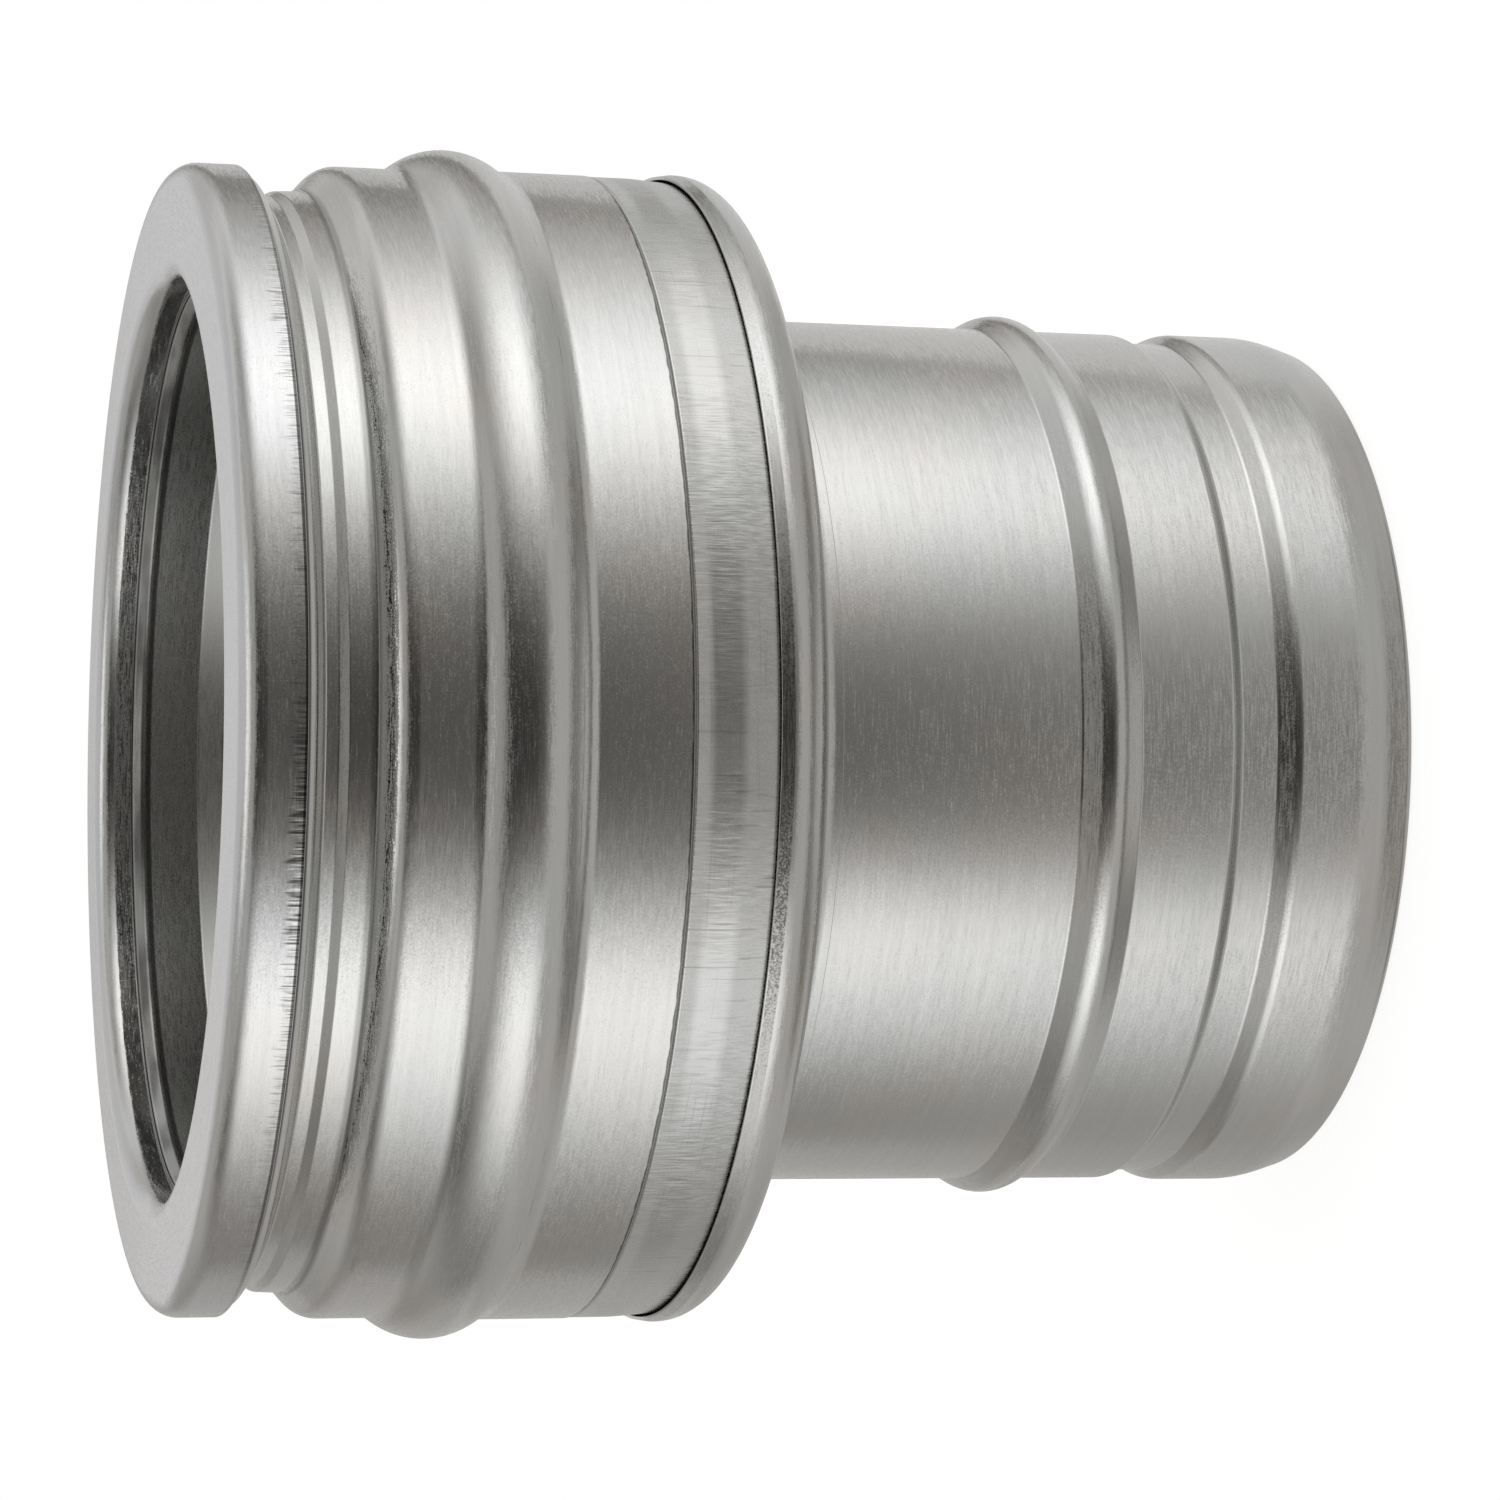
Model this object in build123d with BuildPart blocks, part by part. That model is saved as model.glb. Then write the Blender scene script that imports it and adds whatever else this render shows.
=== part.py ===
# Flue pipe adapter: an insulated double-wall end that steps down to a single-wall spigot.
# Every metal piece is one bent or rolled sheet, drawn as its visible line in the half section
# (radius across, height up), thickened by the sheet and turned about the flue's axis.
# The part stands on the end of its spigot, at height 0, with the socket facing up. Millimetres.

import os
from math import atan2, cos, sqrt

from build123d import *

# Sheet and fits
sheet = 0.6
slip = 0.05
wool_gap = 0.3

# Spigot of the inner pipe: lengths from its end upwards, steps measured across the radius
pipe_d = 152.3
end_lip = 1.9
end_bend = 2.1
taper_length = 7.6
taper_depth = 2.4
taper_bend = 20.0
ridge_length = 13.8
ridge_rise = 0.35
ridge_bend = 3.0
groove_rise_run = 4.3
groove_length = 5.3
groove_fall_run = 1.7
groove_depth = 1.4
groove_bend = 1.2
stop_place = 54.1
stop_width = 10.4
stop_rise = 2.45
stop_foot_bend = 0.8

# Closure cap and the sleeve under it
spigot_length = 108.0
cap_overhang = 0.8
cap_bend = 6.8
cap_land = 0.3
cap_lip = 2.1
cap_lip_draw = 0.35
cap_lip_bend = 1.0
neck_height = 7.7
neck_bend = 6.4
sleeve_inset = 0.15
sleeve_taper = 0.9
sleeve_bend = 20.0
sleeve_waist = 7.0
sleeve_show = 13.85
joggle_run = 1.1
joggle_bend = 0.9
sleeve_lap = 9.0

# Outer casing: lengths from its lower end upwards, steps measured across the radius
casing_d = 200.0
body_length = 16.4
bead_width = 17.2
bead_rise = 3.4
bead_foot_bend = 4.0
collar_drop = 0.5
collar_length = 13.2
wall_run = 2.4
wall_bend = 2.5
shelf_bend = 1.0
shelf_depth = 4.45
shelf_length = 5.0
channel_depth = 0.65
channel_step_run = 1.0
channel_length = 2.25
channel_bend = 0.6
channel_wall_run = 4.1
neck_rise = 4.0
neck_length = 6.25
neck_foot_bend = 1.8

# Front ring over the casing's upper end
rim_bend = 3.2
rim_depth = 10.75
face_crown = 0.4
lip_bend = 2.9
lip_depth = 12.5

# Socket of the inner pipe: lengths from its mouth downwards, steps measured across the radius
mouth_depth = 6.45
mouth_band = 0.5
flare_run = 1.6
flare_rise = 1.15
flare_bend = 0.7
socket_length = 10.55
socket_rise = 1.85
step_run = 4.6
step_bend = 2.0

# Heights that several pieces share
cap_land_top = spigot_length + cap_bend + cap_land
cap_edge = cap_land_top + cap_lip
casing_end = cap_edge + sleeve_show
bead_foot = casing_end + body_length
collar_foot = bead_foot + bead_width
wall_foot = collar_foot + collar_length
shelf_foot = wall_foot + wall_run
channel_edge = shelf_foot + shelf_length
channel_foot = channel_edge + channel_step_run
channel_top = channel_foot + channel_length
neck_foot = channel_top + channel_wall_run
casing_top = neck_foot + neck_length
face_height = casing_top + slip + rim_bend + face_crown

# Radii that several pieces share
pipe_r = pipe_d / 2
socket_r = pipe_r + socket_rise
mouth_r = socket_r + flare_rise
casing_r = casing_d / 2
cap_r = casing_r + cap_overhang
sleeve_r = casing_r - sleeve_inset
lap_r = casing_r - sheet - slip
collar_r = casing_r - collar_drop
shelf_r = collar_r - shelf_depth
channel_r = shelf_r - channel_depth
neck_r = channel_r + neck_rise


def bead_corners(place, width, rise, radius_below, radius_above):
    """Corner points of a rolled bead and the bend at its crest, whose arc stands `rise` proud.

    The flanks meet above the crest, at 1.8 times the rise, so that the crest's arc and the two
    bends at the feet always find room on them, whatever the width and the rise.
    """
    apex = 1.8 * rise
    slope = atan2(apex, width / 2)
    crest_bend = (apex - rise) / (1 / cos(slope) - 1)
    corners = [
        (radius_below, place - width / 2),
        (max(radius_below, radius_above) + apex, place),
        (radius_above, place + width / 2),
    ]
    return corners, crest_bend


# Inner pipe: spigot, plain flue and, at the top, the socket for the next double-wall length.
ridge_r = pipe_r + ridge_rise
groove_r = pipe_r - groove_depth
end_r = ridge_r - taper_depth
ridge_top = taper_length + ridge_length
groove_foot = ridge_top + groove_rise_run
groove_top = groove_foot + groove_length
stop_corners, stop_bend = bead_corners(stop_place, stop_width, stop_rise, pipe_r, pipe_r)
pipe_mouth = face_height - mouth_depth
flare_top = pipe_mouth - mouth_band
socket_top = flare_top - flare_run
socket_foot = socket_top - socket_length
step_foot = socket_foot - step_run

end_bends = [end_bend, taper_bend, ridge_bend]
groove_bends = [groove_bend] * 3
stop_bends = [stop_foot_bend, stop_bend, stop_foot_bend]
socket_bends = [step_bend, step_bend, flare_bend, flare_bend]

with BuildPart() as inner_pipe:
    with BuildSketch(Plane.XZ):
        with BuildLine():
            FilletPolyline(
                (end_r - end_lip, 0),
                (end_r, 0),
                (ridge_r, taper_length),
                (ridge_r, ridge_top),
                (groove_r, groove_foot),
                (groove_r, groove_top),
                (pipe_r, groove_top + groove_fall_run),
                *stop_corners,
                (pipe_r, step_foot),
                (socket_r, socket_foot),
                (socket_r, socket_top),
                (mouth_r, flare_top),
                (mouth_r, pipe_mouth),
                radius=end_bends + groove_bends + stop_bends + socket_bends,
            )
            offset(amount=sheet, side=Side.LEFT)
        make_face()
    revolve(axis=Axis.Z)

# Closure cap: a dished plate, its neck round the pipe and its short edge, drawn in a little,
# round the sleeve.
cap_neck_r = pipe_r + slip + sheet

with BuildPart() as closure_cap:
    with BuildSketch(Plane.XZ):
        with BuildLine():
            FilletPolyline(
                (cap_neck_r, spigot_length - neck_height),
                (cap_neck_r, spigot_length),
                (cap_r, spigot_length),
                (cap_r, cap_land_top),
                (cap_r - cap_lip_draw, cap_edge),
                radius=[neck_bend, cap_bend, cap_lip_bend],
            )
            offset(amount=sheet, side=Side.LEFT)
        make_face()
    revolve(axis=Axis.Z)

# End sleeve: joggled in at the top, where it laps inside the casing and comes out flush with
# it. It draws in towards its lower edge, which rests in the bend of the cap.
sleeve_end_r = sleeve_r - sleeve_taper
inner_bend = cap_bend - sheet
bend_reach = sleeve_end_r - (cap_r - cap_bend)
sleeve_end = spigot_length + cap_bend - sqrt(inner_bend**2 - bend_reach**2) + slip

with BuildPart() as end_sleeve:
    with BuildSketch(Plane.XZ):
        with BuildLine():
            FilletPolyline(
                (sleeve_end_r, sleeve_end),
                (sleeve_r, cap_edge + sleeve_waist),
                (sleeve_r, casing_end - joggle_run),
                (lap_r, casing_end),
                (lap_r, casing_end + sleeve_lap),
                radius=[sleeve_bend, joggle_bend, joggle_bend],
            )
            offset(amount=sheet, side=Side.LEFT)
        make_face()
    revolve(axis=Axis.Z)

# Outer casing: a rolled tube with one large bead, a stepped groove for the locking band and a
# neck that the front ring slides over.
bead_place = bead_foot + bead_width / 2
bead_points, crest_bend = bead_corners(bead_place, bead_width, bead_rise, casing_r, collar_r)
bead_bends = [bead_foot_bend, crest_bend, bead_foot_bend]
shelf_bends = [wall_bend, shelf_bend]
channel_bends = [channel_bend, channel_bend, channel_bend]

with BuildPart() as outer_casing:
    with BuildSketch(Plane.XZ):
        with BuildLine():
            FilletPolyline(
                (casing_r, casing_end),
                *bead_points,
                (collar_r, wall_foot),
                (shelf_r, shelf_foot),
                (shelf_r, channel_edge),
                (channel_r, channel_foot),
                (channel_r, channel_top),
                (neck_r, neck_foot),
                (neck_r, casing_top),
                radius=bead_bends + shelf_bends + channel_bends + [neck_foot_bend],
            )
            offset(amount=sheet, side=Side.LEFT)
        make_face()
    revolve(axis=Axis.Z)

# Front ring: a drawn face, its outer edge down over the casing's neck and its inner edge down
# round the mouth of the pipe.
rim_r = neck_r + slip + sheet
bore_r = mouth_r + slip

with BuildPart() as front_ring:
    with BuildSketch(Plane.XZ):
        with BuildLine():
            FilletPolyline(
                (rim_r, face_height - rim_depth),
                (rim_r, face_height - face_crown),
                (bore_r, face_height),
                (bore_r, face_height - lip_depth),
                radius=[rim_bend, lip_bend],
            )
            offset(amount=sheet, side=Side.LEFT)
        make_face()
    revolve(axis=Axis.Z)

# Insulation: the packed ring of mineral wool between the two walls.
wool_bottom = spigot_length + sheet + wool_gap
wool_top = face_height - lip_depth - wool_gap
wool_waist = wall_foot - sheet - wool_gap
wool_step = step_foot - wool_gap
pipe_wool_r = pipe_r + wool_gap
body_wool_r = lap_r - sheet - wool_gap
neck_wool_r = channel_r - sheet - wool_gap
socket_wool_r = socket_r + wool_gap

with BuildPart() as insulation:
    with BuildSketch(Plane.XZ):
        with BuildLine():
            FilletPolyline(
                (pipe_wool_r, wool_bottom),
                (body_wool_r, wool_bottom),
                (body_wool_r, wool_waist),
                (neck_wool_r, wool_waist),
                (neck_wool_r, wool_top),
                (socket_wool_r, wool_top),
                (socket_wool_r, wool_step),
                (pipe_wool_r, wool_step),
                radius=[0, cap_bend, 0, 0, 0, 0, 0, 0],
                close=True,
            )
        make_face()
    revolve(axis=Axis.Z)

pieces = {
    "inner_pipe": inner_pipe,
    "closure_cap": closure_cap,
    "end_sleeve": end_sleeve,
    "outer_casing": outer_casing,
    "front_ring": front_ring,
    "insulation": insulation,
}
os.makedirs("parts", exist_ok=True)
for name, piece in pieces.items():
    piece.part.label = name
    export_step(piece.part, f"parts/{name}.step")
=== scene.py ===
# %% [markdown]
# # A flue pipe adapter, dressed for the camera
#
# The part is an insulated flue end that steps down to a single-wall spigot. It is made of five
# sheets of stainless steel, each rolled or pressed to a round profile, and a hidden ring of wool.
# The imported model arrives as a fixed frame. Each cell below adds one thing to it and says what
# that thing is on the real object, how it could be made, and why it was made this way.

# %% Load the frame
import math
import bpy
import numpy as np
from mathutils import Matrix, Vector


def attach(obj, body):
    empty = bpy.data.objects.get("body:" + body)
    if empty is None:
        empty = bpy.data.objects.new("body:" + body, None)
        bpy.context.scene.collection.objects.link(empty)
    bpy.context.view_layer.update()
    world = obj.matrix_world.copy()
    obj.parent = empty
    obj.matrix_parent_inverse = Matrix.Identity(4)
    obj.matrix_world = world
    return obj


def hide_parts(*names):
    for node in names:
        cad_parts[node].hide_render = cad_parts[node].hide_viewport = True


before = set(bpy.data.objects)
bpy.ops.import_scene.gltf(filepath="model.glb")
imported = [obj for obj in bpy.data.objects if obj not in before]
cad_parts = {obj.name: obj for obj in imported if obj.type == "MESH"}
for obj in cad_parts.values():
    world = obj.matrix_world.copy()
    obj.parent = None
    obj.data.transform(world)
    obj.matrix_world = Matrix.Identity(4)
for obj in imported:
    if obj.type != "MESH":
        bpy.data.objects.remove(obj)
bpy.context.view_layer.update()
print("nodes:", sorted(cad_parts))

# %% [markdown]
# ## The heights that the sheets share
#
# The solids have the true form, but their arcs are cut into facets that would show as flats in a
# mirror of steel. The same profiles are therefore worked out again here, much finer. The sizes
# are those of the construction, in millimetres. The heights could be written for each sheet, but
# sheets that lap share them, so they are stacked up once, from the spigot's end to the face. The
# other sizes come with their own sheet.

# %% Heights that several sheets share
sheet, slip = 0.6, 0.05
pipe_r, casing_r = 152.3 / 2, 200.0 / 2
spigot_length, cap_bend, cap_land, cap_lip = 108.0, 6.8, 0.3, 2.1
sleeve_show, body_length, bead_width, collar_length = 13.85, 16.4, 17.2, 13.2
wall_run, shelf_length, channel_step_run, channel_length = 2.4, 5.0, 1.0, 2.25
channel_wall_run, neck_length, rim_bend, face_crown = 4.1, 6.25, 3.2, 0.4

cap_land_top = spigot_length + cap_bend + cap_land
cap_edge = cap_land_top + cap_lip
casing_end = cap_edge + sleeve_show
bead_foot = casing_end + body_length
collar_foot = bead_foot + bead_width
wall_foot = collar_foot + collar_length
shelf_foot = wall_foot + wall_run
channel_edge = shelf_foot + shelf_length
channel_foot = channel_edge + channel_step_run
channel_top = channel_foot + channel_length
neck_foot = channel_top + channel_wall_run
casing_top = neck_foot + neck_length
face_height = casing_top + slip + rim_bend + face_crown
print(f"face at {face_height:.2f} mm, casing {2 * casing_r:.0f} mm across")

# %% [markdown]
# ## A bent sheet as a line
#
# A rolled sheet is straight runs joined by tangent arcs. Such a line could be drawn as a curve
# object and bevelled, but a formula gives its exact normal at every point as well, and steel
# shows every error in its normals. So the line comes out as two arrays: points and normals.

# %% The line of a bent sheet
ARC_TURN = math.radians(5.5)
RUN_STEP = 6.0


def left_of(direction):
    """(a, b) turned a quarter turn to the left is (-b, a)."""
    return np.array([-direction[1], direction[0]])


def bent_line(corners, bends):
    """Points (radius, height) along the line, and the unit normals to its left.

    A run with direction d ends R tan(|turn| / 2) before its corner. From there the arc is
    P(a) = start + R (sin a d + side (1 - cos a) l), with l to the left of d, a from 0 to |turn|,
    side +1 for a left turn and -1 for a right one. Its normal is l cos a - side d sin a.
    """
    corners = np.array(corners, float)
    runs = np.diff(corners, axis=0)
    lengths = np.hypot(*runs.T)
    ways = runs / lengths[:, None]
    points, normals, here = [], [], corners[0]
    for way, following, corner, bend in zip(ways[:-1], ways[1:], corners[1:-1], bends):
        left = left_of(way)
        turn = math.atan2(following @ left, following @ way)
        start = corner - way * bend * math.tan(abs(turn) / 2)
        steps = max(1, math.ceil(np.hypot(*(start - here)) / RUN_STEP))
        along = np.arange(steps)[:, None] / steps
        points.append(here + along * (start - here))
        normals.append(np.tile(left, (steps, 1)))
        side = math.copysign(1, turn)
        count = max(2, math.ceil(abs(turn) / ARC_TURN))
        angle = np.linspace(0, abs(turn), count + 1)[:, None]
        points.append(start + bend * (np.sin(angle) * way + side * (1 - np.cos(angle)) * left))
        normals.append(np.cos(angle) * left - side * np.sin(angle) * way)
        here = points[-1][-1]
        points[-1], normals[-1] = points[-1][:-1], normals[-1][:-1]
    left = left_of(ways[-1])
    steps = max(1, math.ceil(np.hypot(*(corners[-1] - here)) / RUN_STEP))
    along = np.arange(steps + 1)[:, None] / steps
    points.append(here + along * (corners[-1] - here))
    normals.append(np.tile(left, (steps + 1, 1)))
    return np.concatenate(points), np.concatenate(normals)


def bead_corners(place, width, rise, below, above, peak=1.8):
    """Three corners of a rolled bead and the bend at its crest.

    The flanks meet `peak` rises above the foot. With s = atan(peak rise / (width / 2)), a crest
    bend of (peak - 1) rise / (1 / cos s - 1) leaves the arc exactly `rise` proud.
    """
    apex = peak * rise
    slope = math.atan2(apex, width / 2)
    crest = (apex - rise) / (1 / math.cos(slope) - 1)
    corners = [
        (below, place - width / 2), (max(below, above) + apex, place), (above, place + width / 2)
    ]
    return corners, crest


# %% [markdown]
# ## From a line to a sheet
#
# A sheet has two sides and two cut edges, and the edges catch light because the cut is slightly
# round. Solidify and Bevel modifiers could add them, but they would guess the normals again. Here
# the closed outline is the line, a rounded edge, the line set inwards by the sheet's thickness,
# and the other edge.

# %% The closed outline of a sheet
EDGE_ROUND = 0.12
EDGE_STEPS = 4


def edge_arc(end, normal, first, second, depth):
    """A quarter round at a cut edge: c + e (first cos b + second sin b), b from 0 to 90 degrees.

    The centre c lies `depth` into the sheet from the line's end, along the normal.
    """
    b = np.linspace(0, math.pi / 2, EDGE_STEPS + 1)[:, None]
    way = first * np.cos(b) + second * np.sin(b)
    return end + normal * depth + EDGE_ROUND * way, way


def sheet_outline(points, normals, thickness):
    """The closed outline of the sheet and its outward normals, visible side first."""
    points = points.copy()
    head = -left_of(normals[-1])
    tail = left_of(normals[0])
    points[-1] -= head * EDGE_ROUND
    points[0] -= tail * EDGE_ROUND
    deep = thickness - EDGE_ROUND
    top, low = normals[-1], normals[0]
    pieces = [
        (points, -normals),
        edge_arc(points[-1], top, -top, head, EDGE_ROUND),
        edge_arc(points[-1], top, head, top, deep),
        (points[::-1] + normals[::-1] * thickness, normals[::-1]),
        edge_arc(points[0], low, low, tail, deep),
        edge_arc(points[0], low, tail, -low, EDGE_ROUND),
    ]
    outline = np.concatenate([piece[0] for piece in pieces])
    outward = np.concatenate([piece[1] for piece in pieces])
    apart = np.hypot(*(outline - np.roll(outline, -1, axis=0)).T) > 1e-6
    return outline[apart], outward[apart]


# %% [markdown]
# ## Turning an outline about the flue's axis
#
# Every sheet is round, so its surface is a grid: the outline's points one way and the angle the
# other. A Screw modifier could turn the outline too, but then the normals would be averages of
# the faces. Here each point keeps its exact normal, and also the length along the outline, which
# the finishes use to find their place on the sheet.

# %% The grid of a turned sheet
MM = 0.001
AROUND = 360


def turned_sheet(name, outline, outward):
    """A closed mesh of the points (r cos a, r sin a, z) with normals (nr cos a, nr sin a, nz).

    The attribute `run` holds the length along the outline in millimetres.
    """
    step = np.hypot(*(outline - np.roll(outline, 1, axis=0)).T)
    step[0] = 0.0
    run = np.cumsum(step)
    angle = np.arange(AROUND) * (2 * math.pi / AROUND)
    cos, sin = np.cos(angle), np.sin(angle)
    r, z, nr, nz = (np.repeat(v[:, None], AROUND, axis=1) for v in (*outline.T, *outward.T))
    place = np.stack([r * cos, r * sin, z], axis=-1) * MM
    normal = np.stack([nr * cos, nr * sin, nz], axis=-1)

    rows, columns = np.meshgrid(np.arange(len(run)), np.arange(AROUND), indexing="ij")
    row_up, column_on = (rows + 1) % len(run), (columns + 1) % AROUND
    quads = np.stack([
        rows * AROUND + columns, rows * AROUND + column_on,
        row_up * AROUND + column_on, row_up * AROUND + columns,
    ], axis=-1).reshape(-1, 4)

    mesh = bpy.data.meshes.new(name)
    mesh.vertices.add(place.size // 3)
    mesh.vertices.foreach_set("co", place.ravel())
    mesh.loops.add(quads.size)
    mesh.loops.foreach_set("vertex_index", quads.ravel())
    mesh.polygons.add(len(quads))
    mesh.polygons.foreach_set("loop_start", np.arange(0, quads.size, 4))
    mesh.update(calc_edges=True)
    mesh.polygons.foreach_set("use_smooth", np.ones(len(quads), bool))
    mesh.normals_split_custom_set_from_vertices(normal.reshape(-1, 3).tolist())
    travel = mesh.attributes.new("run", "FLOAT", "POINT")
    travel.data.foreach_set("value", np.repeat(run, AROUND))
    piece = bpy.data.objects.new(name, mesh)
    bpy.context.scene.collection.objects.link(piece)
    print(f"{name}: {len(run)} points by {AROUND}, {2 * len(quads)} triangles")
    return piece


# %% [markdown]
# ## Writing a finish as sums
#
# A finish is a small calculation: a coordinate goes in, a colour or a height comes out. Nodes can
# be laid by hand in the editor, but a formula reads better. A wire stands for one socket, and a
# sum or a product of wires adds the Math node that works it out.

# %% Wires
class Wire:
    """One socket of a node tree, on which + - * and / add Math nodes."""

    def __init__(self, tree, socket=None):
        self.tree, self.socket = tree, socket

    def node(self, kind, settings=None, inputs=None, output=0):
        """Any node: its settings are set first, then its sockets get values or wires."""
        made = self.tree.nodes.new(kind)
        for name, value in (settings or {}).items():
            setattr(made, name, value)
        for name, value in (inputs or {}).items():
            if isinstance(value, Wire):
                self.tree.links.new(value.socket, made.inputs[name])
            else:
                made.inputs[name].default_value = value
        return Wire(self.tree, made.outputs[output])

    def math(self, operation, *values):
        sockets = dict(enumerate((self, *values)))
        return self.node("ShaderNodeMath", {"operation": operation}, sockets)

    def vector(self, operation, *values):
        sockets = dict(enumerate((self, *values)))
        return self.node("ShaderNodeVectorMath", {"operation": operation}, sockets)

    def times(self, factor):
        """The vector made longer or shorter by a number."""
        return self.node(
            "ShaderNodeVectorMath", {"operation": "SCALE"}, {0: self, "Scale": factor}
        )

    def __add__(self, other):
        return self.math("ADD", other)

    def __sub__(self, other):
        return self.math("SUBTRACT", other)

    def __mul__(self, other):
        return self.math("MULTIPLY", other)

    def __truediv__(self, other):
        return self.math("DIVIDE", other)

    def __neg__(self):
        return self.math("MULTIPLY", -1)

    def __rsub__(self, other):
        return -self + other

    __radd__, __rmul__ = __add__, __mul__

    def rise(self, start, end):
        """A smooth step: 0 at start, 1 at end, 3 t t - 2 t t t between them."""
        return self.node(
            "ShaderNodeMapRange", {"interpolation_type": "SMOOTHSTEP"},
            {0: self, 1: start, 2: end, 3: 0.0, 4: 1.0},
        )

    def tint(self, low, high):
        """The colour low where the wire is 0, high where it is 1."""
        return self.node(
            "ShaderNodeMix", {"data_type": "RGBA"}, {0: self, 6: (*low, 1), 7: (*high, 1)}, 2
        )


# %% [markdown]
# ## Brushed steel
#
# Rolling and brushing leave thousands of fine lines. A picture of brushed metal could be wrapped
# round each piece, but it would show a seam. Noise that is squeezed across the lines and drawn
# out along them has none. Round a flue the lines run in rings, so the long way of the noise
# follows x and y, and the short way follows the length along the sheet's outline. A bump could
# lift the lines, but it blurs when the picture gets small, so each line tips the normal itself.

# %% Brushed steel
class Steel:
    """A metal finish under way: its tree, its coordinates in millimetres and its output."""

    def __init__(self, name):
        self.material = bpy.data.materials.new(name)
        self.material.use_nodes = True
        self.tree = self.material.node_tree
        self.shader = self.tree.nodes["Principled BSDF"]
        start = self.start = Wire(self.tree)
        self.place = start.node("ShaderNodeTexCoord", output="Object")
        self.x, self.y = (
            start.node("ShaderNodeSeparateXYZ", inputs={0: self.place}, output=axis) * 1000
            for axis in range(2)
        )
        self.run = start.node("ShaderNodeAttribute", {"attribute_name": "run"}, output="Fac")

    def lines(self, around, across, detail=2.0, shift=0.0):
        """Noise with cells `around` mm long round the flue and `across` mm along the outline."""
        point = self.start.node("ShaderNodeCombineXYZ", inputs={
            0: self.x / around + shift, 1: self.y / around, 2: self.run / across,
        })
        return self.start.node("ShaderNodeTexNoise", inputs={
            "Vector": point, "Scale": 1.0, "Detail": detail, "Roughness": 0.55,
        })

    def patches(self, size, detail=2.0):
        """Even noise with cells `size` mm wide."""
        return self.start.node("ShaderNodeTexNoise", inputs={
            "Vector": self.place, "Scale": 1000 / size, "Detail": detail,
        })

    def tipped(self, ringwise, lengthwise):
        """The normal n + ringwise q + lengthwise t: q runs round the axis, t along the outline."""
        facing = self.start.node("ShaderNodeNewGeometry", output="Normal")
        axis = self.start.node(
            "ShaderNodeVectorTransform",
            {"vector_type": "VECTOR", "convert_from": "OBJECT", "convert_to": "WORLD"},
            {0: (0, 0, 1)},
        )
        ring = axis.vector("CROSS_PRODUCT", facing).vector("NORMALIZE")
        length = facing.vector("CROSS_PRODUCT", ring)
        tilt = ring.times(ringwise).vector("ADD", length.times(lengthwise))
        return facing.vector("ADD", tilt).vector("NORMALIZE")

    def finish(self, colour, shade, roughness, normal):
        """Links the surface: the colour is darkened by the shade."""
        grey = self.start.node("ShaderNodeCombineXYZ", inputs={0: shade, 1: shade, 2: shade})
        wires = {
            "Base Color": colour.vector("MULTIPLY", grey), "Roughness": roughness, "Normal": normal
        }
        self.shader.inputs["Metallic"].default_value = 1.0
        for name, wire in wires.items():
            self.tree.links.new(wire.socket, self.shader.inputs[name])
        print(f"{self.material.name}: {len(self.tree.nodes)} nodes")
        return self.material


# %% [markdown]
# ## Steel brushed in rings
#
# The pipe, the cap, the casing and the ring were brushed while they turned. The lines could be
# drawn dark and light in the colour, but on real steel they show mostly in the roughness: a
# rougher line gathers a little light inside a dark reflection and loses a little inside a bright
# one. One function makes all four finishes, from a warm and a cool grey and a roughness, and each
# piece may add its own marks and painted shade to it.

# %% Steel brushed in rings
WARM, COOL = (0.58, 0.565, 0.545), (0.56, 0.565, 0.55)
BRIGHT = 0.15


def band(run, start, end, soft):
    """1 between start and end along the outline, with both sides faded over `soft` mm."""
    return run.rise(start - soft, start + soft) * (1 - run.rise(end - soft, end + soft))


def ring_brushed(name, warm, cool, roughness, span, marks_and_painted_shade=None):
    """Steel brushed in rings: lines 3.5 mm by 0.22 mm, strays, a fine grain and soft patches.

    Beyond `span` along the outline is the sheet's inner side, which is duller and more even.
    """
    steel = Steel(name)
    hidden = steel.run.rise(span, span + 3)
    calm = 1 - hidden * 0.75
    fine = steel.lines(3.5, 0.22)
    stray = steel.lines(3.0, 0.3, shift=11.0)
    bands = steel.lines(30.0, 1.0, shift=5.0)
    grain, dents = steel.patches(0.35, 1.0), steel.patches(14.0)
    colour = steel.patches(30.0).rise(0.35, 0.65).tint(warm, cool)
    shade = fine.rise(0.3, 0.7) * 0.04 + grain * 0.04 + bands.rise(0.3, 0.7) * 0.05 + 0.885
    spread = (bands - 0.5) * 0.06 + (fine.rise(0.3, 0.7) - 0.5) * 0.2 + (grain - 0.5) * 0.4
    dullness = (spread * calm + hidden * 0.12 + roughness + 0.01).math("MAXIMUM", 0.05)
    ringwise = (stray - 0.5) * 0.07 + (grain - 0.5) * 0.08 + (dents - 0.5) * 0.012
    lengthwise = (fine - 0.5) * 0.14 + (grain - 0.5) * 0.08 + (bands - 0.5) * 0.03
    ringwise, lengthwise = ringwise * calm, lengthwise * calm
    # A piece's own function adds its marks and its painted shade here.
    if marks_and_painted_shade:
        shade, dullness, ringwise = marks_and_painted_shade(steel, shade, dullness, ringwise)
    return steel.finish(colour, shade, dullness, steel.tipped(ringwise, lengthwise))


# %% [markdown]
# ## Dressing a piece
#
# Each new sheet takes the place of one solid of the imported model. It could be laid over the
# solid, but two skins in one place would flicker, so that solid is hidden, and the sheet rides on
# the part's one body and takes its finish.

# %% Dressing a piece
def line_length(line):
    """The length of a line, added up over its points."""
    return float(np.hypot(*np.diff(line[0], axis=0).T).sum())


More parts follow.
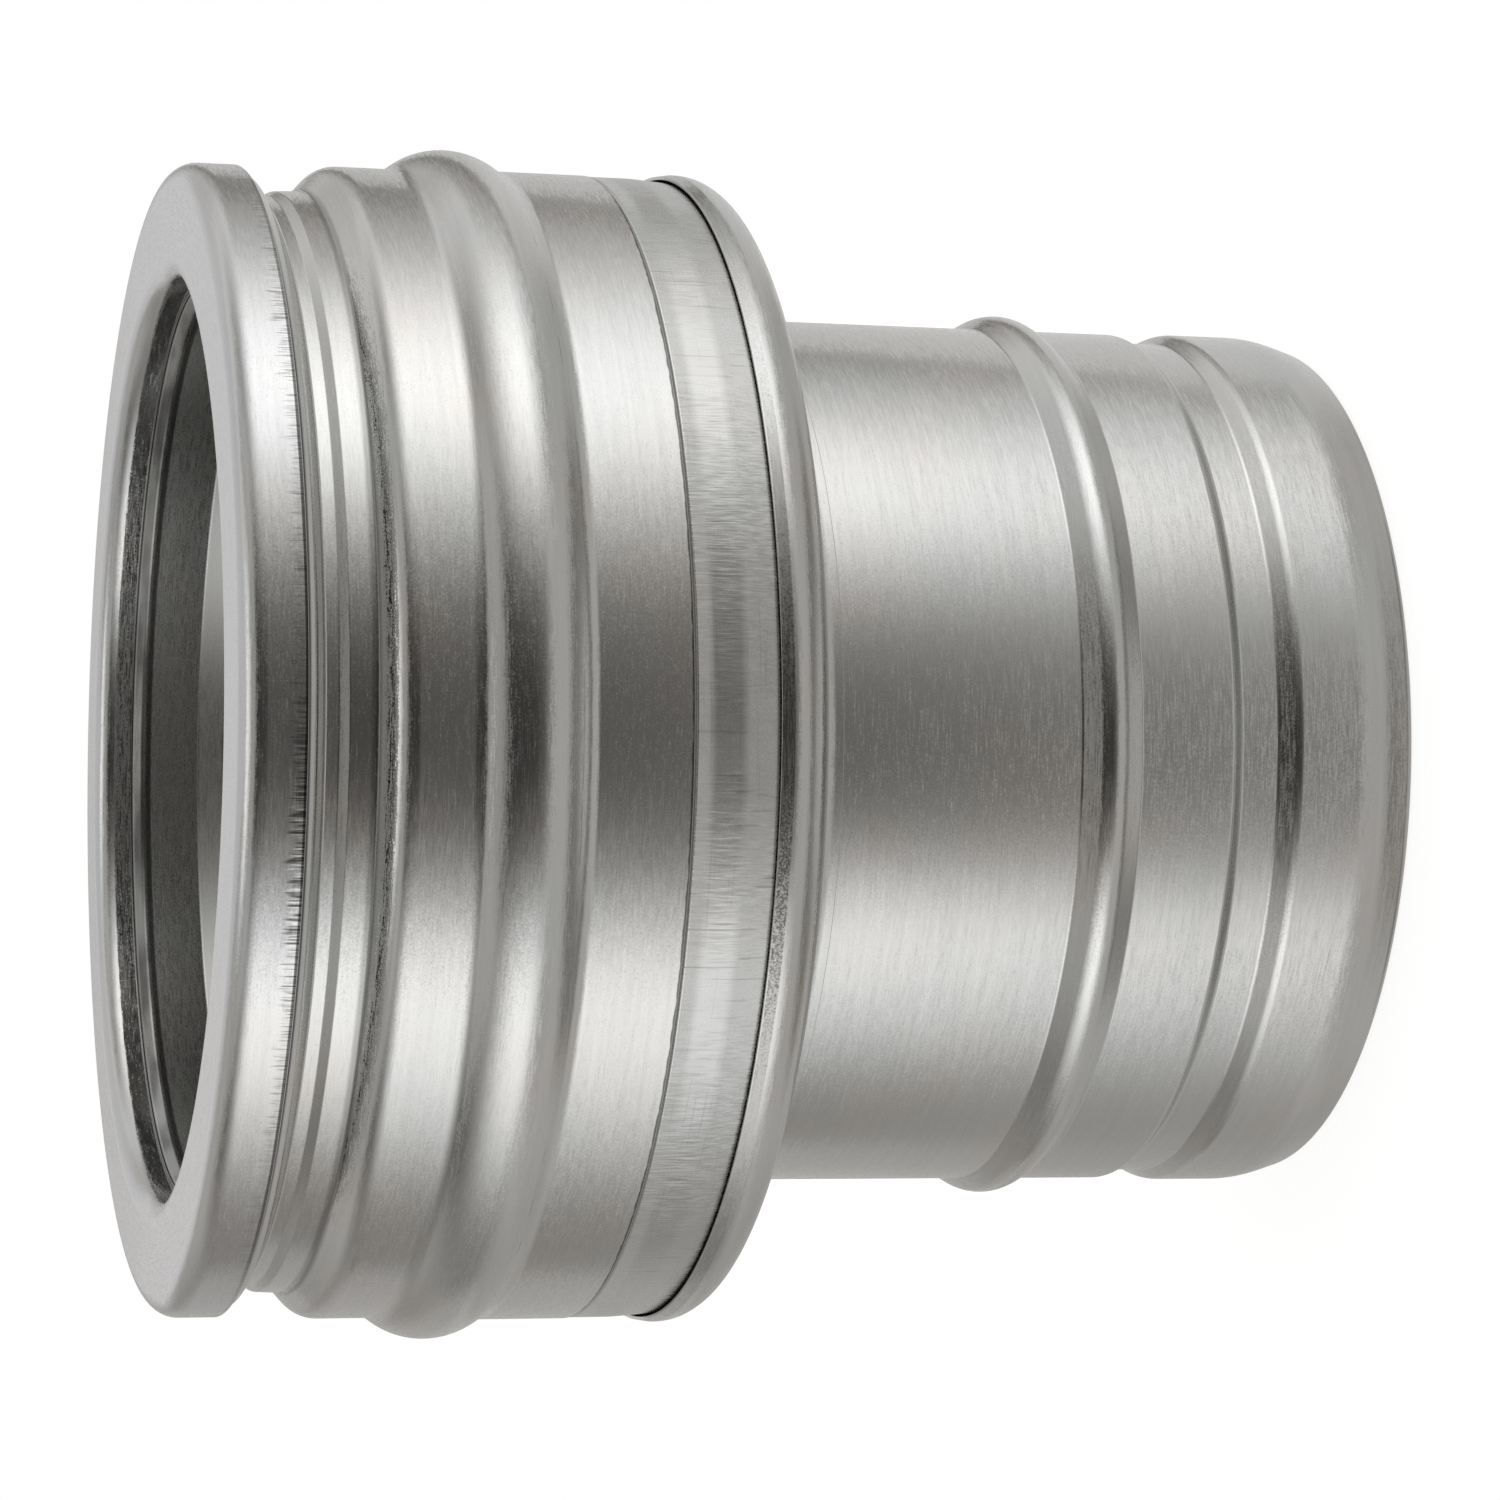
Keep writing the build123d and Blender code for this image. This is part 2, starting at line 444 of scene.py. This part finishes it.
def dress(piece, node, finish):
    """The piece stands for its solid, rides on the part's one body and takes its finish."""
    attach(piece, "root")
    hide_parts(node)
    piece.data.materials.append(finish)


# %% [markdown]
# ## The inner pipe
#
# The flue itself is one tube. Its spigot is rolled in a little at the cut end, widest just above
# it, and has a groove and a round stop bead that the next pipe's socket meets. At the other end it
# widens into a socket, whose flared mouth sits inside the front ring. The groove and the bead
# could be modelled as rings of their own, but they are bends of the same sheet, so they are
# corners of the same line. Two bends are eased by less than half a millimetre, because their
# reflections look softer than the plain sizes give.

# %% Sizes of the inner pipe
end_lip, end_bend = 1.9, 2.1
taper_length, taper_depth, taper_bend = 7.6, 2.4, 20.0
ridge_length, ridge_rise, ridge_bend = 13.8, 0.35, 3.0
groove_rise_run, groove_length, groove_fall_run = 4.3, 5.3, 1.7
groove_depth, groove_bend = 1.4, 1.2
stop_place, stop_width, stop_rise, stop_foot_bend = 54.1, 10.4, 2.45, 0.8
socket_rise, step_run, step_bend, socket_length = 1.85, 4.6, 2.0, 10.55
flare_rise, flare_run, flare_bend = 1.15, 1.6, 0.7
mouth_band, mouth_depth = 0.5, 6.45
GROOVE_EASE, STOP_PEAK = 1.3, 1.35

socket_r = pipe_r + socket_rise
mouth_r = socket_r + flare_rise
ridge_r = pipe_r + ridge_rise
groove_r = pipe_r - groove_depth
end_r = ridge_r - taper_depth
print(f"pipe {2 * pipe_r:.1f} mm across, mouth {2 * mouth_r:.1f} mm")

# %% The inner pipe
ridge_top = taper_length + ridge_length
groove_foot = ridge_top + groove_rise_run
groove_top = groove_foot + groove_length
stop_corners, stop_bend = bead_corners(
    stop_place, stop_width, stop_rise, pipe_r, pipe_r, STOP_PEAK
)
pipe_mouth = face_height - mouth_depth
flare_top = pipe_mouth - mouth_band
socket_top = flare_top - flare_run
socket_foot = socket_top - socket_length
step_foot = socket_foot - step_run

pipe_line = bent_line(
    [
        (end_r - end_lip, 0), (end_r, 0), (ridge_r, taper_length), (ridge_r, ridge_top),
        (groove_r, groove_foot - GROOVE_EASE), (groove_r, groove_top),
        (pipe_r, groove_top + groove_fall_run), *stop_corners, (pipe_r, step_foot),
        (socket_r, socket_foot), (socket_r, socket_top), (mouth_r, flare_top),
        (mouth_r, pipe_mouth),
    ],
    [end_bend, taper_bend, ridge_bend] + [groove_bend] * 3
    + [stop_foot_bend, stop_bend, stop_foot_bend] + [step_bend] * 2 + [flare_bend] * 2,
)
pipe_span = line_length(pipe_line)


def pipe_painted_shade(steel, shade, dullness, ringwise):
    """Painted shade inside the mouth: a dim, uneven band on the flare, with a dark line on either
    side of it.
    """
    inside = steel.run - pipe_span
    patchy = steel.lines(16.0, 6.0, shift=8.0).rise(0.35, 0.65) * 0.35 + 0.35
    # The dim band and the two dark lines are painted shade in the mouth's recess.
    flare = band(inside, 0.9, 3.3, 0.3) * patchy
    lines = band(inside, -0.9, 0.8, 0.15) + band(inside, 3.3, 4.3, 0.2)
    return shade * (1 - flare) * (1 - lines * 0.75), dullness, ringwise


pipe_finish = ring_brushed("pipe_steel", WARM, COOL, BRIGHT, pipe_span, pipe_painted_shade)
dress(
    turned_sheet("flue_pipe", *sheet_outline(*pipe_line, sheet)),
    "inner_pipe", pipe_finish,
)

# %% [markdown]
# ## The closure cap
#
# A pressed plate closes the double wall where it steps down to the pipe. Its outer edge is turned
# up over a generous bend and stands clear of the sleeve, so a thin black gap shows all round. The
# gap could be painted on as a dark line, but the two sheets are really apart here, and the gap
# grows dark by itself. The press has left the short lip dull and speckled, and painted shade
# darkens it, most on the near side.

# %% The closure cap
cap_overhang, cap_lip_draw, cap_lip_bend = 0.8, 0.35, 1.0
neck_height, neck_bend = 7.7, 6.4
cap_r = casing_r + cap_overhang
cap_neck_r = pipe_r + slip + sheet
cap_line = bent_line(
    [
        (cap_neck_r, spigot_length - neck_height), (cap_neck_r, spigot_length),
        (cap_r, spigot_length), (cap_r, cap_land_top), (cap_r - cap_lip_draw, cap_edge),
    ],
    [neck_bend, cap_bend, cap_lip_bend],
)
cap_span = line_length(cap_line)


def speckled_lip_and_painted_shade(steel, shade, dullness, ringwise):
    """The lip is dull and speckled, with painted shade strongest on the near side, but the line of
    its cut is bright.
    """
    lip = band(steel.run, cap_span - 2.2, cap_span - 0.35, 0.12)
    # Painted shade: the lip's darkening is weighted towards the near side.
    lip = lip * ((-steel.y).rise(75, 97) * 0.85 + 0.15)
    speckle = steel.patches(0.35).rise(0.35, 0.7)
    shade = shade * (1 - lip * (speckle * 0.25 + 0.3))
    return shade, dullness + lip * 0.1, ringwise + lip * (speckle - 0.5) * 0.1


cap_finish = ring_brushed(
    "cap_steel", (0.57, 0.555, 0.535), (0.55, 0.555, 0.54), 0.17, cap_span, speckled_lip_and_painted_shade
)
dress(
    turned_sheet("end_cap", *sheet_outline(*cap_line, sheet)),
    "closure_cap", cap_finish,
)

# %% [markdown]
# ## The end sleeve
#
# The strip between the cap and the casing is its own short tube. Its upper end is joggled in by
# one sheet, so that it laps inside the casing and the two come out nearly flush. It could be a
# band of another finish on the casing, but the seam, the grain across it and the lap show that
# it is a sheet of its own. The joggle is sharp, and the waist starts a little lower than the
# plain size says. Its grain runs along the flue, so its noise is drawn out the other way.

# %% Steel brushed along the flue
def lengthwise_brushed(name, warm, cool, roughness, span):
    """Steel with its grain along the flue: lines 0.22 mm by 4 mm, and scratches both ways.

    The last millimetres before `span` swell outwards a little in their normals and catch the
    light, and a painted highlight lightens their colour too.
    """
    steel = Steel(name)
    fine = steel.lines(0.22, 4.0)
    grain = steel.patches(0.35, 1.0)
    scratches = steel.lines(0.5, 16.0, detail=0.0, shift=3.0).rise(0.7, 0.8)
    crossing = steel.lines(18.0, 0.3, detail=0.0, shift=7.0).rise(0.72, 0.8)
    colour = steel.patches(24.0).rise(0.35, 0.65).tint(warm, cool)
    swell_and_painted_highlight = steel.run.rise(span - 4.0, span - 2.0)
    # Painted highlight: the swell term lightens the colour at the sleeve's upper end.
    shade = fine.rise(0.25, 0.75) * 0.1 + grain * 0.08 + swell_and_painted_highlight * 0.06 + 0.84
    shade = shade - (scratches + crossing) * 0.12
    ringwise = (fine - 0.5) * 0.4 + (scratches - 0.5) * 0.08
    lengthwise = (steel.patches(6.0) - 0.5) * 0.06 + (grain - 0.5) * 0.06 - swell_and_painted_highlight * 0.1
    normal = steel.tipped(ringwise, lengthwise)
    dullness = (fine - 0.5) * 0.15 + (grain - 0.5) * 0.25 + roughness
    return steel.finish(colour, shade, dullness, normal)


# %% The end sleeve
sleeve_inset, sleeve_taper, sleeve_bend = 0.15, 0.9, 20.0
sleeve_waist, sleeve_lap = 7.0, 9.0
SHARP_RUN, SHARP_BEND, WAIST_EASE = 0.45, 0.35, 1.4
sleeve_r = casing_r - sleeve_inset
lap_r = casing_r - sheet - slip
sleeve_end_r = sleeve_r - sleeve_taper
inner_bend = cap_bend - sheet
bend_reach = sleeve_end_r - (cap_r - cap_bend)
sleeve_end = spigot_length + cap_bend - math.sqrt(inner_bend**2 - bend_reach**2) + slip
sleeve_line = bent_line(
    [
        (sleeve_end_r, sleeve_end), (sleeve_r, cap_edge + sleeve_waist - WAIST_EASE),
        (sleeve_r, casing_end - SHARP_RUN),
        (lap_r, casing_end), (lap_r, casing_end + sleeve_lap),
    ],
    [sleeve_bend, SHARP_BEND, SHARP_BEND],
)
sleeve_span = casing_end - sleeve_end
sleeve_finish = lengthwise_brushed(
    "sleeve_steel", (0.58, 0.57, 0.55), (0.565, 0.57, 0.555), 0.27, sleeve_span
)
dress(
    turned_sheet("joggled_sleeve", *sheet_outline(*sleeve_line, sheet)),
    "end_sleeve", sleeve_finish,
)

# %% [markdown]
# ## The outer casing
#
# The casing carries one large bead, a collar and, above it, the stepped groove that the locking
# band grips. All of it is rolled into one tube, so it is one line again, where separate rings
# would leave seams. A mirror of steel shows bends that a ruler would miss: here the wall under
# the collar is softer, the shelf falls a little towards its channel, and the neck draws in under
# the ring. These eases move the surface by less than a millimetre.

# %% Sizes of the outer casing
bead_rise, bead_foot_bend = 3.4, 4.0
collar_drop, shelf_bend, shelf_depth = 0.5, 1.0, 4.45
channel_depth, channel_bend, neck_rise = 0.65, 0.6, 4.0
SHELF_FALL, CHANNEL_SINK, STEP_EASE, WALL_EASE = 0.22, 0.45, 0.6, 1.5
SHOULDER_FALL, SHOULDER_RUN, NECK_LIFT = 0.9, 2.4, 0.2
SOFT_WALL_BEND, SHOULDER_BEND, NECK_BEND = 4.5, 1.2, 1.5

collar_r = casing_r - collar_drop
shelf_r = collar_r - shelf_depth
channel_r = shelf_r - channel_depth
neck_r = channel_r + neck_rise
print(f"bead {2 * (casing_r + bead_rise):.1f} mm across, channel {2 * channel_r:.1f} mm")

# %% The outer casing
bead_place = bead_foot + bead_width / 2
bead_points, crest_bend = bead_corners(bead_place, bead_width, bead_rise, casing_r, collar_r)
casing_line = bent_line(
    [
        (casing_r, casing_end), *bead_points, (collar_r, wall_foot - WALL_EASE),
        (shelf_r, shelf_foot), (shelf_r - SHELF_FALL, channel_edge - STEP_EASE),
        (channel_r - CHANNEL_SINK, channel_foot), (channel_r - CHANNEL_SINK, channel_top),
        (neck_r - SHOULDER_FALL, neck_foot - SHOULDER_RUN), (neck_r, neck_foot + NECK_LIFT),
        (neck_r, casing_top),
    ],
    [bead_foot_bend, crest_bend, bead_foot_bend, SOFT_WALL_BEND, shelf_bend]
    + [channel_bend] * 3 + [SHOULDER_BEND, NECK_BEND],
)
casing_span = line_length(casing_line)


def seam_rub_and_painted_shade(steel, shade, dullness, ringwise):
    """A dark uneven line at the lap with the sleeve, and a broken rub mark at the bead's foot.

    The neck's shoulder is drawn hardest and comes out dull. A painted shadow darkens the gap under
    the ring's edge, most on the near side, and painted shade darkens the crease at the shelf's
    foot.
    """
    wobble = steel.lines(3.0, 40.0) - 0.5
    seam = 1 - (steel.run + wobble * 0.5).rise(0.2, 0.4)
    rub = band(steel.run + wobble * 0.3, body_length + 1.7, body_length + 1.85, 0.1)
    broken = steel.lines(9.0, 40.0, shift=9.0).rise(0.45, 0.6)
    shoulder = band(steel.run, casing_span - 12.2, casing_span - 6.4, 0.4)
    crease = band(steel.run, casing_span - 21.8, casing_span - 20.2, 0.4)
    dullness = dullness + shoulder * 0.06
    # Painted shadow in the gap under the ring's edge, strongest on the near side.
    gap = band(steel.run, casing_span - 7.8, casing_span - 6.0, 0.2) * (-steel.y).rise(20, 85)
    shade = shade * (1 - seam * 0.75) * (1 - rub * broken * 0.45) * (1 - gap * 0.8)
    # Painted shade in the crease at the foot of the shelf.
    shade = shade * (1 - crease * 0.4)
    return shade, dullness, ringwise


casing_finish = ring_brushed("casing_steel", WARM, COOL, BRIGHT, casing_span, seam_rub_and_painted_shade)
dress(
    turned_sheet("rolled_casing", *sheet_outline(*casing_line, sheet)),
    "outer_casing", casing_finish,
)

# %% [markdown]
# ## The front ring
#
# The face is a drawn ring. Drawing gathers the metal at its outer free edge, which leaves short
# wrinkles and cracks all round it. They could be modelled in the mesh, but they are finer than
# half a millimetre, so noise with narrow cells tips and darkens the steel there instead. The
# cracks are darker on the near side, which is painted shade, and a painted shadow lies right
# under the free edge.

# %% The front ring
rim_depth, lip_depth = 10.75, 12.5
rim_r = neck_r + slip + sheet
bore_r = mouth_r + slip
SOFT_RIM_BEND, SOFT_LIP_BEND = 4.2, 3.6
ring_line = bent_line(
    [
        (rim_r, face_height - rim_depth), (rim_r, face_height - face_crown),
        (bore_r, face_height), (bore_r, face_height - lip_depth),
    ],
    [SOFT_RIM_BEND, SOFT_LIP_BEND],
)
ring_span = line_length(ring_line)


def drawn_edge_and_painted_shadow(steel, shade, dullness, ringwise):
    """Fine cracks and wrinkles from the free edge, darker on the near side as painted shade, and a
    painted shadow under it.
    """
    wave = steel.lines(40.0, 60.0, shift=2.0) - 0.5
    cracks = steel.lines(0.34, 9.0, detail=1.0)
    lengths = steel.lines(0.9, 30.0, detail=1.0, shift=4.0)
    reach = 1 - (steel.run - wave * 2 - (lengths - 0.5) * 6).rise(0.9, 2.4)
    # Painted shadow along the free edge, strongest on the near side.
    shadow = (1 - (steel.run + wave * 0.6).rise(0.4, 0.6)) * ((-steel.y).rise(20, 85) * 0.7 + 0.1)
    near = (-steel.y).rise(40, 92)
    # Real cracks, darkened more on the near side as painted shade.
    dark = reach * cracks.rise(0.48, 0.62) * (near * 0.4 + 0.12)
    tilt = reach * (cracks - 0.5) * (near * 0.3 + 0.25)
    return shade * (1 - dark) * (1 - shadow), dullness, ringwise + tilt


ring_finish = ring_brushed(
    "ring_steel", (0.575, 0.565, 0.55), (0.565, 0.57, 0.565), BRIGHT, ring_span, drawn_edge_and_painted_shadow
)
dress(
    turned_sheet("drawn_ring", *sheet_outline(*ring_line, sheet)),
    "front_ring", ring_finish,
)

# %% [markdown]
# ## The insulation
#
# The ring of mineral wool is closed in by the sheets, so nothing of it shows. Strands of hair
# could stand for its fibres, but here its solid stays as it is and takes a plain finish: fine
# noise for the fibres over coarse noise for the tufts, in both the colour and the bumps.

# %% The insulation
FIBRES_PER_METRE, TUFTS_PER_METRE = 900, 70
wool = bpy.data.materials.new("mineral_wool")
wool.use_nodes = True
start = Wire(wool.node_tree)
place = start.node("ShaderNodeTexCoord", output="Object")
fibres, tufts = (
    start.node("ShaderNodeTexNoise", inputs={
        "Vector": place, "Scale": scale, "Detail": 4.0, "Distortion": 1.5,
    })
    for scale in (FIBRES_PER_METRE, TUFTS_PER_METRE)
)
fleece = (fibres * 0.6 + tufts * 0.4).rise(0.3, 0.7)
wool_bump = start.node("ShaderNodeBump", inputs={"Distance": 0.0008, "Height": fleece})
for name, wire in {
    "Base Color": fleece.tint((0.28, 0.22, 0.12), (0.55, 0.47, 0.3)),
    "Roughness": fleece * 0.1 + 0.85, "Normal": wool_bump,
}.items():
    wool.node_tree.links.new(wire.socket, wool.node_tree.nodes["Principled BSDF"].inputs[name])
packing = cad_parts["insulation"]
packing.data.materials.clear()
packing.data.materials.append(wool)
print("wool on", packing.name)

# %% [markdown]
# ## The floor
#
# The part stands on the end of its spigot. A pale disc lies under it and keeps a faint shadow of
# it. The disc is not mirrored in the steel, because the measured tones of the room below the
# part are already in the world's formula.

# %% The floor
FLOOR_R, FLOOR_RINGS, FLOOR_SPOKES = 0.45, 12, 96
FLOOR_DROP, FLOOR_GLOW = 2e-5, 0.82
spokes = np.arange(FLOOR_SPOKES) * (2 * math.pi / FLOOR_SPOKES)
rings = np.linspace(0, FLOOR_R, FLOOR_RINGS + 1)[1:, None]
level = np.full((FLOOR_RINGS, FLOOR_SPOKES), -FLOOR_DROP)
disc = np.stack([rings * np.cos(spokes), rings * np.sin(spokes), level], axis=-1).reshape(-1, 3)
rows, columns = np.meshgrid(np.arange(FLOOR_RINGS - 1), np.arange(FLOOR_SPOKES), indexing="ij")
onward = (columns + 1) % FLOOR_SPOKES
panels = np.stack([
    rows * FLOOR_SPOKES + columns, (rows + 1) * FLOOR_SPOKES + columns,
    (rows + 1) * FLOOR_SPOKES + onward, rows * FLOOR_SPOKES + onward,
], axis=-1).reshape(-1, 4)
floor_mesh = bpy.data.meshes.new("floor")
floor_mesh.from_pydata(disc.tolist(), [], panels.tolist() + [list(range(FLOOR_SPOKES))])
floor = bpy.data.objects.new("floor", floor_mesh)
bpy.context.scene.collection.objects.link(floor)
floor.visible_glossy = False
paint = bpy.data.materials.new("floor_paint")
paint.use_nodes = True
start = Wire(paint.node_tree)
seen = start.node("ShaderNodeLightPath", output="Is Camera Ray")
speckle = start.node("ShaderNodeTexNoise", inputs={"Scale": 400.0, "Detail": 3.0})
sockets = paint.node_tree.nodes["Principled BSDF"].inputs
sockets["Roughness"].default_value = 0.9
sockets["Specular IOR Level"].default_value = 0.0
sockets["Emission Strength"].default_value = FLOOR_GLOW
tone = speckle.tint((0.44, 0.44, 0.44), (0.46, 0.46, 0.46))
paint.node_tree.links.new(tone.socket, sockets["Base Color"])
paint.node_tree.links.new(seen.tint((0, 0, 0), (1, 1, 1)).socket, sockets["Emission Color"])
floor_mesh.materials.append(paint)
print("floor:", len(floor_mesh.polygons), "faces")

# %% [markdown]
# ## The camera
#
# The photograph shows the flue lying level, while the part stands on its end. The camera is
# turned on its side instead: its upward direction is the part's X axis. The lens, the distance
# and the angle were found by fitting the outline of the part to the photograph.

# %% The camera
LENS, SENSOR = 115.1, 36.0
CAMERA_AWAY = 0.85375
AIM_HEIGHT = 0.096
CAMERA_RISE = 0.2565
CAMERA_ROLL = 0.0174


def camera_matrix():
    """Columns right, up and back, with the place in the last one.

    The camera looks down by the angle e, so its forward direction is (0, cos e, -sin e).
    """
    e, roll = CAMERA_RISE, CAMERA_ROLL
    forward = Vector((0, math.cos(e), -math.sin(e)))
    across = Vector((0, -math.sin(e), -math.cos(e)))
    right = math.cos(roll) * across + math.sin(roll) * Vector((1, 0, 0))
    up = math.cos(roll) * Vector((1, 0, 0)) - math.sin(roll) * across
    place = Vector((0, 0, AIM_HEIGHT)) - forward * CAMERA_AWAY
    turned = Matrix((right, up, -forward)).transposed()
    return Matrix.Translation(place) @ turned.to_4x4()


camera_data = bpy.data.cameras.new("camera")
camera_data.lens, camera_data.sensor_width = LENS, SENSOR
camera_data.clip_start, camera_data.clip_end = 0.01, 50
camera = bpy.data.objects.new("camera", camera_data)
camera.matrix_world = camera_matrix()
bpy.context.scene.collection.objects.link(camera)
bpy.context.scene.camera = camera
print("camera at", [round(v, 4) for v in camera.location])

# %% [markdown]
# ## Light
#
# Polished metal has no look of its own: it shows the room. In the photograph the steel mirrors a
# pale backdrop behind it, a tall soft box on either side, a bright ceiling and, from the camera's
# side, a dark room with a lit floor. Lamps could stand for these, but their hard edges would show
# in the mirror. The world is written as a formula of direction instead, with the same boxes and
# softer edges. Its levels were read off the steel: each bend sees one strip of the room. The
# camera itself sees plain white.

# %% Directions in the room
world = bpy.data.worlds.new("studio")
bpy.context.scene.world = world
world.use_nodes = True
room = world.node_tree
start = Wire(room)
way = start.node("ShaderNodeTexCoord", output="Generated")
way_x, way_y, way_z = (
    start.node("ShaderNodeSeparateXYZ", inputs={0: way}, output=axis) for axis in range(3)
)
DEGREES = 180 / math.pi
azimuth = way_x.math("ARCTAN2", -way_y) * DEGREES
elevation = way_z.math("ARCSINE") * DEGREES
aside = azimuth.math("ABSOLUTE")
down = -elevation


# %% [markdown]
# ## The soft boxes
#
# A soft box is a tall lit cloth, and its reflection runs as a broad bright stripe along the pipe.
# An area lamp would give the stripe a hard rim. Each box is a bell curve over the angle beside it
# instead, wider on its outer side, where its glow falls off along the wall.

# %% Soft boxes
def soft_box(place, inner, outer, level):
    """A tall box: exp(-t t / 2), with t the angle off it over its inner or outer spread.

    Its upper end fades with a spread of 24 degrees, its lower end from 9 to 32 degrees down.
    """
    off = azimuth - place if place > 0 else -azimuth + place
    across = off.math("MAXIMUM", 0) / outer + (-off).math("MAXIMUM", 0) / inner
    above = elevation.math("MAXIMUM", 0) / 24
    fade = ((across * across + above * above) * -0.5).math("EXPONENT")
    return fade * (1 - down.rise(9, 32)) * level


def mixed(first, second, share):
    """The first level at share 0, the second at share 1."""
    return first + (second - first) * share


# %% [markdown]
# ## The rest of the room
#
# The steel's other tones are the walls, the ceiling and the floor. A room could be modelled and
# lit, but its bounced light would be slow and grainy. Here each of them is a level of light that
# rises or falls over a stretch of degrees.

# %% The room's levels
# The camera's side is nearly black at the level, lighter above 35 degrees and bright at the
# ceiling. Its floor is lit, with a darker ring about 64 degrees down.
dark_side = elevation.rise(35, 54) * 0.42 + elevation.rise(62, 82) * 0.88 + 0.05
dark_side = dark_side + down.rise(0, 10) * 0.055 + down.rise(11.5, 29) * 0.49
dark_side = dark_side - down.rise(48, 62) * 0.31 + down.rise(66, 82) * 0.28

# Behind the part, light falls in above the level and less on the part's under side. Below the
# level, a light strip with a dark edge crosses it at a slant.
under_side = (-way_x).rise(-0.2, 0.2)
edge = aside + down * 2.25
far_strip = edge.rise(166, 172) * 0.27 - edge.rise(148, 158) * (1 - edge.rise(166, 172)) * 0.1
near_strip = aside.rise(122, 132) * (1 - down.rise(14, 19)) * 0.14
above = elevation.rise(-4, 8)
lit = (1 - under_side * 0.85) * (1 - aside.rise(125, 142) * 0.45)
back = above * lit * 0.42 + elevation.rise(10, 35) * 0.18 + 0.34
back = back + down.rise(8, 20) * 0.12 + down.rise(35, 55) * 0.11
back = back + mixed(far_strip, near_strip, under_side) * (1 - above) * (1 - down.rise(30, 45))

# The camera's side fades into the backdrop between 90 and 140 degrees, past the soft boxes.
room_level = mixed(dark_side, back, aside.rise(90, 140))
studio = room_level + soft_box(73, 21.5, 27, 1.78) + soft_box(-51, 16, 28, 1.55)

# %% [markdown]
# ## Mirrored and seen
#
# The backdrop of the photograph is white, but the face of the ring mirrors it as a mid grey. A
# grey backdrop would also be seen beside the part. So the world asks what kind of ray it meets: a
# reflected ray that goes back past the part finds the grey, and the camera finds plain white.

# %% What the steel mirrors and what the camera sees
BACKDROP = 0.76
rays = {
    name: start.node("ShaderNodeLightPath", output=name)
    for name in ("Is Camera Ray", "Is Glossy Ray", "Is Transmission Ray")
}
behind = aside.rise(154, 166) * elevation.rise(1, 9)
mirrored = behind * (rays["Is Glossy Ray"] + rays["Is Transmission Ray"]).math("MINIMUM", 1)
strength = mixed(mixed(studio, BACKDROP, mirrored), 1.0, rays["Is Camera Ray"])
room.links.new(strength.socket, room.nodes["Background"].inputs["Strength"])
warmth = studio.rise(0.1, 0.9).math("MAXIMUM", rays["Is Camera Ray"])
room.links.new(
    mirrored.tint((1, 1, 1), (0.98, 0.99, 1.03)).vector(
        "MULTIPLY", warmth.tint((1.04, 1.0, 0.95), (1, 1, 1))
    ).socket, room.nodes["Background"].inputs["Color"]
)
bpy.context.scene.view_settings.view_transform = "Standard"
print("world:", len(room.nodes), "nodes")
